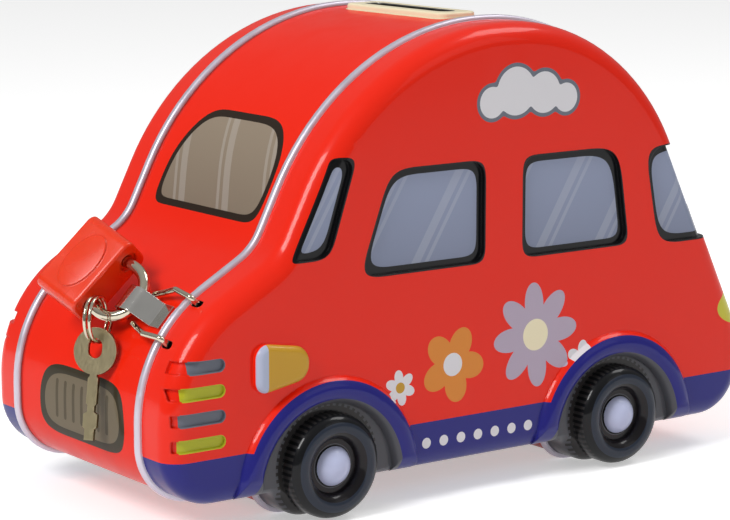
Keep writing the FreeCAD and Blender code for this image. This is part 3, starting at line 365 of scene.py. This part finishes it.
def pane_ink(tree, flat, z, colour, heights):
    """Grey pane, paler towards its head, with two slanted bars of glare."""
    share = put(tree, "ShaderNodeMapRange", z, *heights, *PANE_SHADE)
    shaded = put(tree, "ShaderNodeVectorMath", tuple(colour), share, operation="SCALE")
    slant = put(tree, "ShaderNodeVectorMath", flat, GLARE_SLANT, operation="DOT_PRODUCT")
    part = put(tree, "ShaderNodeMath", slant, operation="FRACT")
    bars = [put(tree, "ShaderNodeMath", part, *bar, operation="COMPARE") for bar in GLARE_BARS]
    glare = put(tree, "ShaderNodeMath", *bars, operation="MAXIMUM")
    light = put(tree, "ShaderNodeMath", glare, GLARE_SHARE, operation="MULTIPLY")
    return put(tree, "ShaderNodeMix", light, shaded, WHITE, data_type="RGBA")


def litho_side():
    """Lithographed, lacquered tinplate of the two sides: flat inks under a clear glossy coat."""
    inks = bpy.context.scene.tin_print
    material, tree = new_material("litho_tinplate_side")
    point, x, y, z = print_point(tree)
    flat = put(tree, "ShaderNodeCombineXYZ", x, z, 0.0)
    ink = {name: rgba(getattr(inks, name)) for name in (
        "red", "blue", "black", "slate", "dish", "tread", "hub", "well", "amber", "pale",
        "green", "grey", "lamp", "orange", "lilac", "white", "cream")}
    layers = []
    below_sill = put(tree, "ShaderNodeMath", z, inks.sill_top, operation="SUBTRACT")
    for centre, radius, petals, colour, heart in FLOWERS:
        petal = flower_distance(tree, flat, centre, radius, petals, turn=centre[0])
        layers.append((petal, 0.0, ink[colour]))
        middle = circle_distance(tree, flat, centre, radius * HEART_SHARE)
        layers.append((middle, 0.0, ink[heart]))
    layers.append((below_sill, 0.0, ink["blue"]))
    for i in range(DOTS):
        spot = (DOT_FIRST[0] + i * DOT_SPACING, DOT_FIRST[1])
        layers.append((circle_distance(tree, flat, spot, DOT_RADIUS), 0.0, ink["white"]))
    cloud = None
    for centre, radius in CLOUD:
        puff = circle_distance(tree, flat, centre, radius)
        if cloud is None:
            cloud = puff
        else:
            cloud = put(tree, "ShaderNodeMath", cloud, puff, CLOUD_BLEND, operation="SMOOTH_MIN")
    layers.append((cloud, CLOUD_LINE, ink["grey"]))
    layers.append((cloud, 0.0, ink["white"]))
    lamp_x, lamp_z, lamp_half, stretch = REAR_LAMP
    squeezed = put(tree, "ShaderNodeVectorMath", flat, (1.0 / stretch, 1.0, 1.0),
                   operation="MULTIPLY")
    rear = circle_distance(tree, squeezed, (lamp_x / stretch, lamp_z), lamp_half)
    layers.append((rear, 0.0, ink["lamp"]))
    for wheel in WHEELS:
        arch = circle_distance(tree, flat, (wheel, ARCH_HEIGHT), 0.0)
        layers += [(arch, ARCH_RADIUS, ink["blue"]), (arch, WELL_RADIUS, ink["well"])]
        toothed = tread_distance(tree, flat, (wheel, WHEEL_HEIGHT))
        layers += [(toothed, TREAD_RADIUS, ink["tread"]), (toothed, TYRE_RADIUS, ink["black"])]
        plain = circle_distance(tree, flat, (wheel, WHEEL_HEIGHT), 0.0)
        layers += [(plain, radius, ink[colour]) for radius, colour in WHEEL_RINGS]
    depth = put(tree, "ShaderNodeMath", y, operation="ABSOLUTE")
    lamp = convex_distance(tree, flat, *HEADLIGHT)
    lamp = put(tree, "ShaderNodeMath", lamp, HEADLIGHT_OVERLAP, operation="SUBTRACT")
    low = put(tree, "ShaderNodeMath", HEADLIGHT_EDGE, depth, operation="SUBTRACT")
    lamp = put(tree, "ShaderNodeMath", lamp, low, operation="MAXIMUM")
    strip = put(tree, "ShaderNodeMath", x, HEADLIGHT_STRIP, operation="SUBTRACT")
    layers.append((lamp, 0.0, ink["amber"]))
    strip = put(tree, "ShaderNodeMath", lamp, strip, operation="MAXIMUM")
    layers.append((strip, 0.0, ink["pale"]))
    behind = put(tree, "ShaderNodeMath", x, VENT_REAR - VENT_HALF, operation="MAXIMUM")
    for i, (row, start) in enumerate(VENT_ROWS):
        vent = circle_distance(tree, put(tree, "ShaderNodeCombineXYZ", behind, z, 0.0),
                               (VENT_REAR - VENT_HALF, row), VENT_HALF)
        front = put(tree, "ShaderNodeMath", start, x, operation="SUBTRACT")
        vent = put(tree, "ShaderNodeMath", vent, front, operation="MAXIMUM")
        layers.append((vent, 0.0, ink["green" if i % 2 == 0 else "grey"]))
    panes = []
    for corners, radii in SIDE_WINDOWS:
        window = convex_distance(tree, flat, corners, radii)
        layers.append((window, FRAME_OVERLAP, ink["black"]))
        panes.append(window)
    printed = stack_inks(tree, ink["red"], layers)
    pane = pane_ink(tree, flat, z, inks.pane, PANE_HEIGHTS)
    for window in panes:
        mask = put(tree, "ShaderNodeMath", window, -inks.frame_width, operation="LESS_THAN")
        printed = put(tree, "ShaderNodeMix", mask, printed, pane, data_type="RGBA")
    finish_lacquer(tree, point, printed, gloss=0.32, specular=0.1)
    return material


def litho_band():
    """The same lacquered print on the centre band: windscreen, grille and coin pad, with painted
    shade beside each rim.
    """
    inks = bpy.context.scene.tin_print
    material, tree = new_material("litho_tinplate_band")
    point, x, y, z = print_point(tree)
    flat = put(tree, "ShaderNodeCombineXYZ", y, z, 0.0)
    behind = put(tree, "ShaderNodeMath", x, FRONT_PRINT_END, operation="SUBTRACT")
    screen = convex_distance(tree, flat, *WINDSCREEN)
    screen = put(tree, "ShaderNodeMath", screen, behind, operation="MAXIMUM")
    grille = convex_distance(tree, flat, *GRILLE)
    grille = put(tree, "ShaderNodeMath", grille, behind, operation="MAXIMUM")
    layers = [(screen, 0.0, rgba(inks.frame)), (grille, 0.0, rgba(inks.grille_line)),
              (grille, -GRILLE_FRAME, rgba(inks.grille))]
    for i in range(GRILLE_SLITS):
        place = SLIT_MIDDLE + (i - (GRILLE_SLITS - 1) / 2) * SLIT_SPACING
        ends = put(tree, "ShaderNodeClamp", z, SLIT_FOOT, SLIT_HEAD)
        slit = put(tree, "ShaderNodeVectorMath", flat,
                   put(tree, "ShaderNodeCombineXYZ", place, ends, 0.0), operation="DISTANCE")
        slit = put(tree, "ShaderNodeMath", slit, behind, operation="MAXIMUM")
        layers.append((slit, SLIT_HALF, rgba(inks.slit)))
    pad = convex_distance(tree, put(tree, "ShaderNodeCombineXYZ", x, y, 0.0), *COIN_PAD)
    low = put(tree, "ShaderNodeMath", PAD_FOOT, z, operation="SUBTRACT")
    pad = put(tree, "ShaderNodeMath", pad, low, operation="MAXIMUM")
    layers.append((pad, 0.0, rgba(inks.cream)))
    # Painted shade: the band's red darkens in the corner beside each rim, standing in for the
    # rim's shadow in the seam
    beside = put(tree, "ShaderNodeMath", y, operation="ABSOLUTE")
    rim_shade = put(tree, "ShaderNodeMapRange", beside, RIM_Y - RIM_SHADE_START, RIM_Y - RIM_SHADE_END,
               0.0, RIM_SHADE_SHARE)
    ground = put(tree, "ShaderNodeMix", rim_shade, rgba(inks.red), rgba(inks.seam), data_type="RGBA")
    printed = stack_inks(tree, ground, layers)
    pane = pane_ink(tree, flat, z, inks.screen, SCREEN_HEIGHTS)
    mask = put(tree, "ShaderNodeMath", screen, -inks.frame_width, operation="LESS_THAN")
    printed = put(tree, "ShaderNodeMix", mask, printed, pane, data_type="RGBA")
    finish_lacquer(tree, point, printed, gloss=0.16, specular=0.05)
    return material


def bare_tin(name, colour, roughness, metallic=1.0):
    """Bare tinplate: bright, with the soft spangle of crystals a few millimetres across."""
    material, tree = new_material(name)
    coordinates = put(tree, "ShaderNodeTexCoord").outputs["Object"]
    spangle = put(tree, "ShaderNodeTexVoronoi", coordinates, named={"Scale": 260.0})
    rough = put(tree, "ShaderNodeMapRange", spangle.outputs[0], 0.0, 1.0,
                roughness * 0.8, roughness * 1.3)
    tone = put(tree, "ShaderNodeMapRange", spangle.outputs[0], 0.0, 1.0, 0.94, 1.04)
    shade = put(tree, "ShaderNodeVectorMath", tuple(colour), tone, operation="SCALE")
    normal = soft_normal(tree, 0.2 * MM)
    close_material(tree, normal, Base_Color=shade, Metallic=metallic, Roughness=rough)
    return material


def polished_metal(name, colour, roughness, scratch_mm):
    """Plated or polished metal with fine handling scratches."""
    material, tree = new_material(name)
    coordinates = put(tree, "ShaderNodeTexCoord").outputs["Object"]
    stretched = put(tree, "ShaderNodeMapping", coordinates, named={"Scale": (1.0, 1.0, 0.12)})
    scratch = put(tree, "ShaderNodeTexNoise", stretched,
                  named={"Scale": 1.0 / (scratch_mm * MM), "Detail": 3.0})
    rough = put(tree, "ShaderNodeMapRange", scratch.outputs[0], NOISE_LOW, SCRATCH_HIGH,
                roughness * 0.85, roughness * 1.25)
    normal = soft_normal(tree, 0.12 * MM, scratch.outputs[0], strength=0.02, depth=0.006 * MM)
    close_material(tree, normal, Base_Color=rgba(colour), Metallic=1.0, Roughness=rough)
    return material


def moulded_plastic():
    """Glossy injection-moulded plastic, a little see-through near its edges."""
    settings = bpy.context.scene.tin_metal
    material, tree = new_material("moulded_plastic")
    coordinates = put(tree, "ShaderNodeTexCoord").outputs["Object"]
    flow = put(tree, "ShaderNodeTexNoise", coordinates, named={"Scale": 180.0, "Detail": 2.0})
    rough = put(tree, "ShaderNodeMapRange", flow.outputs[0], NOISE_LOW, NOISE_HIGH, 0.2, 0.32)
    normal = soft_normal(tree, 0.5 * MM, flow.outputs[0], strength=0.04, depth=0.03 * MM)
    close_material(tree, normal, Base_Color=rgba(settings.plastic), Roughness=rough, IOR=1.49,
                   Subsurface_Weight=0.2, Subsurface_Radius=(0.004, 0.0008, 0.0004),
                   Subsurface_Scale=0.5)
    return material


def select_only(piece):
    bpy.ops.object.select_all(action="DESELECT")
    piece.select_set(True)
    bpy.context.view_layer.objects.active = piece


WELD = 0.002 * MM
SMOOTH_ANGLE = 32.0         # edges sharper than this stay crisp


def copy_node(node, name, body):
    """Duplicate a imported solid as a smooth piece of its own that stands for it."""
    source = frame["nodes"][node]
    select_only(source)
    bpy.ops.object.duplicate(linked=False)
    piece = bpy.context.view_layer.objects.active
    piece.name = name
    piece.data = piece.data.copy()
    piece.data.name = name
    select_only(piece)
    bpy.ops.object.mode_set(mode="EDIT")
    bpy.ops.mesh.select_all(action="SELECT")
    bpy.ops.mesh.remove_doubles(threshold=WELD)
    bpy.ops.object.mode_set(mode="OBJECT")
    if piece.data.has_custom_normals:
        bpy.ops.mesh.customdata_custom_splitnormals_clear()
    bpy.ops.object.shade_smooth_by_angle(angle=math.radians(SMOOTH_ANGLE))
    piece.data.materials.clear()
    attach(piece, body)
    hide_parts(node)
    return piece


RAY_LIFT = 0.1 * MM
SIDE_REACH = 100 * MM       # past the depth of a side
BOX_REACH = 300 * MM        # past the length of the box
UNDERSIDE_TOP = 7.5 * MM
RIM_SKIN = 1
INSIDE_SKIN = 2
BAND_INSIDE_SKIN = 1


def covered(tree, spot, normal, direction, reach):
    """Whether the sheet itself lies over a spot, looking along a direction."""
    return tree.ray_cast(spot + normal * RAY_LIFT, direction, reach)[0] is not None


class TINBOX_OT_sides(bpy.types.Operator):
    """Print the two pressed sides, with bare tin inside and rolled rims"""

    bl_idname = "tinbox.sides"
    bl_label = "Pressed Sides"

    def execute(self, context):
        metal = context.scene.tin_metal
        skins = (litho_side(), bare_tin("rolled_rim_tin", metal.bead, 0.4, metallic=0.6),
                 bare_tin("bare_tinplate_inside", metal.tin, 0.34))
        for node, name, body, side in (("lid_shell", "opening_side", "lid", LATCH_SIDE),
                                       ("far_side_shell", "fixed_side", "tin_body", -LATCH_SIDE)):
            piece = copy_node(node, name, body)
            mesh = piece.data
            for skin in skins:
                mesh.materials.append(skin)
            tree = BVHTree.FromObject(piece, context.evaluated_depsgraph_get())
            outward = Vector((0.0, side, 0.0))
            for face in mesh.polygons:
                if abs(face.center.y) < (RIM_Y + BEAD_WIDTH + 0.1) * MM:
                    face.material_index = RIM_SKIN
                elif covered(tree, face.center, face.normal, outward, SIDE_REACH):
                    face.material_index = INSIDE_SKIN
        return {"FINISHED"}


class TINBOX_OT_band(bpy.types.Operator):
    """Print the centre band with its coin pad, bare tin inside"""

    bl_idname = "tinbox.band"
    bl_label = "Centre Band"

    def execute(self, context):
        piece = copy_node("centre_band", "printed_band", "tin_body")
        mesh = piece.data
        mesh.materials.append(litho_band())
        mesh.materials.append(bare_tin("bare_tinplate_band", context.scene.tin_metal.tin, 0.34))
        tree = BVHTree.FromObject(piece, context.evaluated_depsgraph_get())
        for face in mesh.polygons:
            under = face.center.z < UNDERSIDE_TOP and face.normal.z < -0.1
            collar = face.center.y < (0.05 - RIM_Y) * MM
            facing = covered(tree, face.center, face.normal, face.normal, BOX_REACH)
            if collar or (facing and not under):
                face.material_index = BAND_INSIDE_SKIN
        return {"FINISHED"}


class TINBOX_OT_fittings(bpy.types.Operator):
    """Hinge, hook strip and latch wire on the tin"""

    bl_idname = "tinbox.fittings"
    bl_label = "Hinge and Latch"

    def execute(self, context):
        metal = context.scene.tin_metal
        steel = polished_metal("plain_hinge_steel", metal.steel, 0.3, 0.8)
        strip = bare_tin("bright_hook_tin", metal.tin, 0.07)
        wire = polished_metal("nickel_plated_wire", metal.nickel, 0.14, 0.6)
        for node, name, body, slot, skin in (
                ("hinge_leaf_lid", "hinge_plate_lid", "lid", "bright_steel", steel),
                ("hinge_leaf_body", "hinge_plate_band", "tin_body", "bright_steel", steel),
                ("hinge_pin", "hinge_rivet_pin", "tin_body", "bright_steel", steel),
                ("hook_strip", "shackle_strip", "tin_body", "bright_tin", strip),
                ("latch_wire", "latch_bail", "latch_wire", "nickel", wire)):
            piece = copy_node(node, name, body)
            piece.data.materials.append(skin)
        return {"FINISHED"}


class TINBOX_OT_padlock(bpy.types.Operator):
    """Padlock with its lock inside, split ring and key"""

    bl_idname = "tinbox.padlock"
    bl_label = "Padlock and Key"

    def execute(self, context):
        metal = context.scene.tin_metal
        plastic = moulded_plastic()
        nickel = polished_metal("polished_nickel", metal.nickel, 0.1, 0.5)
        brass = polished_metal("plain_brass", metal.brass, 0.3, 0.7)
        steel = polished_metal("spring_steel", metal.steel, 0.28, 0.6)
        key = polished_metal("satin_nickel_silver", metal.key, 0.34, 0.35)
        for node, name, body, slot, skin in (
                ("padlock_jacket", "lock_jacket", "padlock_case", "red_plastic", plastic),
                ("padlock_shackle", "lock_shackle", "shackle", "nickel", nickel),
                ("split_ring", "key_ring", "ring", "nickel", nickel),
                ("padlock_key", "flat_key", "key", "key_metal", key),
                ("lock_block", "lock_core", "padlock_case", "lock_brass", brass),
                ("bottom_plate", "lock_end_plate", "padlock_case", "lock_brass", brass),
                ("lock_plug", "keyway_plug", "plug", "lock_brass", brass),
                ("locking_bolt", "lock_bolt", "bolt", "lock_brass", brass),
                ("plug_clip", "plug_spring_clip", "padlock_case", "spring_steel", steel),
                ("bolt_spring", "bolt_return_spring", "padlock_case", "spring_steel", steel),
                ("shackle_spring", "shackle_lift_spring", "padlock_case", "spring_steel", steel),
                ("retaining_pin", "heel_leg_pin", "padlock_case", "spring_steel", steel)):
            piece = copy_node(node, name, body)
            piece.data.materials.append(skin)
        return {"FINISHED"}


FLOOR_SIZE = 6.0
LIGHT_AIM = (0.0, 0.0, 0.05)
CAMERA_PLACE = (-0.37231, -0.50692, 0.15999)
CAMERA_DIP = 9.99           # degrees below level
CAMERA_TURN = -36.17


class TINBOX_OT_stage(bpy.types.Operator):
    """Pale floor, soft lights and the camera"""

    bl_idname = "tinbox.stage"
    bl_label = "Stage"

    def execute(self, context):
        stage = context.scene.tin_stage
        scene = context.scene
        bpy.ops.object.select_all(action="DESELECT")
        bpy.ops.mesh.primitive_plane_add(size=FLOOR_SIZE, location=(0.0, 0.0, 0.0))
        floor = context.view_layer.objects.active
        floor.name = "floor"
        material, tree = new_material("matt_paper_floor")
        grain = put(tree, "ShaderNodeTexNoise", put(tree, "ShaderNodeTexCoord").outputs["Object"],
                    named={"Scale": 900.0, "Detail": 2.0})
        rough = put(tree, "ShaderNodeMapRange", grain.outputs[0], NOISE_LOW, NOISE_HIGH, 0.8, 0.95)
        path = put(tree, "ShaderNodeLightPath")
        seen = path.outputs["Is Camera Ray"]
        for ray in ("Is Glossy Ray", "Is Transmission Ray"):
            seen = put(tree, "ShaderNodeMath", seen, path.outputs[ray], operation="MAXIMUM")
        glow = put(tree, "ShaderNodeMath", seen, stage.floor_glow, operation="MULTIPLY")
        close_material(tree, Base_Color=rgba(stage.floor), Roughness=rough, Specular_IOR_Level=0.0,
                       Emission_Color=WHITE, Emission_Strength=glow)
        floor.data.materials.append(material)
        for name, power, size, place in (
                ("window_light", stage.key_power, 0.4, (-0.9, -0.16, 0.82)),
                ("fill_light", stage.fill_power, 0.5, (0.55, -0.95, 0.6)),
                ("ceiling_light", stage.ceiling_power, 0.4, (0.62, -0.2, 0.95))):
            bpy.ops.object.light_add(type="AREA", location=place)
            lamp = context.view_layer.objects.active
            lamp.name = name
            lamp.data.energy = power
            lamp.data.size = size
            beam = Vector(LIGHT_AIM) - Vector(place)
            lamp.rotation_euler = beam.to_track_quat("-Z", "Y").to_euler()
        world = bpy.data.worlds.new("studio_room")
        world.use_nodes = True
        tree = world.node_tree
        tree.nodes.clear()
        # The room grows brighter towards its ceiling, which gives bright metal something to mirror
        direction = put(tree, "ShaderNodeTexCoord").outputs["Generated"]
        rise = put(tree, "ShaderNodeSeparateXYZ", direction).outputs[2]
        level = put(tree, "ShaderNodeMapRange", rise, 0.0, 1.0, stage.room_low, stage.room_high)
        put(tree, "ShaderNodeOutputWorld", put(tree, "ShaderNodeBackground", WHITE, level))
        scene.world = world
        pitch = math.radians(90.0 - CAMERA_DIP)
        bpy.ops.object.camera_add(location=CAMERA_PLACE,
                                  rotation=(pitch, 0.0, math.radians(CAMERA_TURN)))
        camera = context.view_layer.objects.active
        camera.name = "photo_camera"
        camera.data.sensor_width = 36.0
        camera.data.sensor_fit = "HORIZONTAL"
        camera.data.lens = stage.lens
        camera.data.clip_start = 0.01
        scene.camera = camera
        scene.view_settings.view_transform = "Standard"
        return {"FINISHED"}


class TINBOX_PT_panel(bpy.types.Panel):
    """Money box pieces and their settings"""

    bl_idname = "TINBOX_PT_panel"
    bl_label = "Tin Money Box"
    bl_space_type = "VIEW_3D"
    bl_region_type = "UI"
    bl_category = "Money Box"

    def draw(self, context):
        layout = self.layout
        for operator in OPERATORS:
            layout.operator(operator.bl_idname)
        scene = context.scene
        for settings in (scene.tin_print, scene.tin_metal, scene.tin_stage):
            box = layout.box()
            for name in settings.bl_rna.properties.keys():
                if name not in ("rna_type", "name"):
                    box.prop(settings, name)


SETTINGS = (PrintSettings, MetalSettings, StageSettings)
OPERATORS = (TINBOX_OT_sides, TINBOX_OT_band, TINBOX_OT_fittings, TINBOX_OT_padlock,
             TINBOX_OT_stage)
CLASSES = SETTINGS + OPERATORS + (TINBOX_PT_panel,)


def register():
    for entry in CLASSES:
        bpy.utils.register_class(entry)
    bpy.types.Scene.tin_print = bpy.props.PointerProperty(type=PrintSettings)
    bpy.types.Scene.tin_metal = bpy.props.PointerProperty(type=MetalSettings)
    bpy.types.Scene.tin_stage = bpy.props.PointerProperty(type=StageSettings)


def unregister():
    del bpy.types.Scene.tin_stage
    del bpy.types.Scene.tin_metal
    del bpy.types.Scene.tin_print
    for entry in reversed(CLASSES):
        bpy.utils.unregister_class(entry)


def main():
    register()
    bpy.ops.tinbox.sides()
    bpy.ops.tinbox.band()
    bpy.ops.tinbox.fittings()
    bpy.ops.tinbox.padlock()
    bpy.ops.tinbox.stage()


if __name__ == "__main__":
    main()
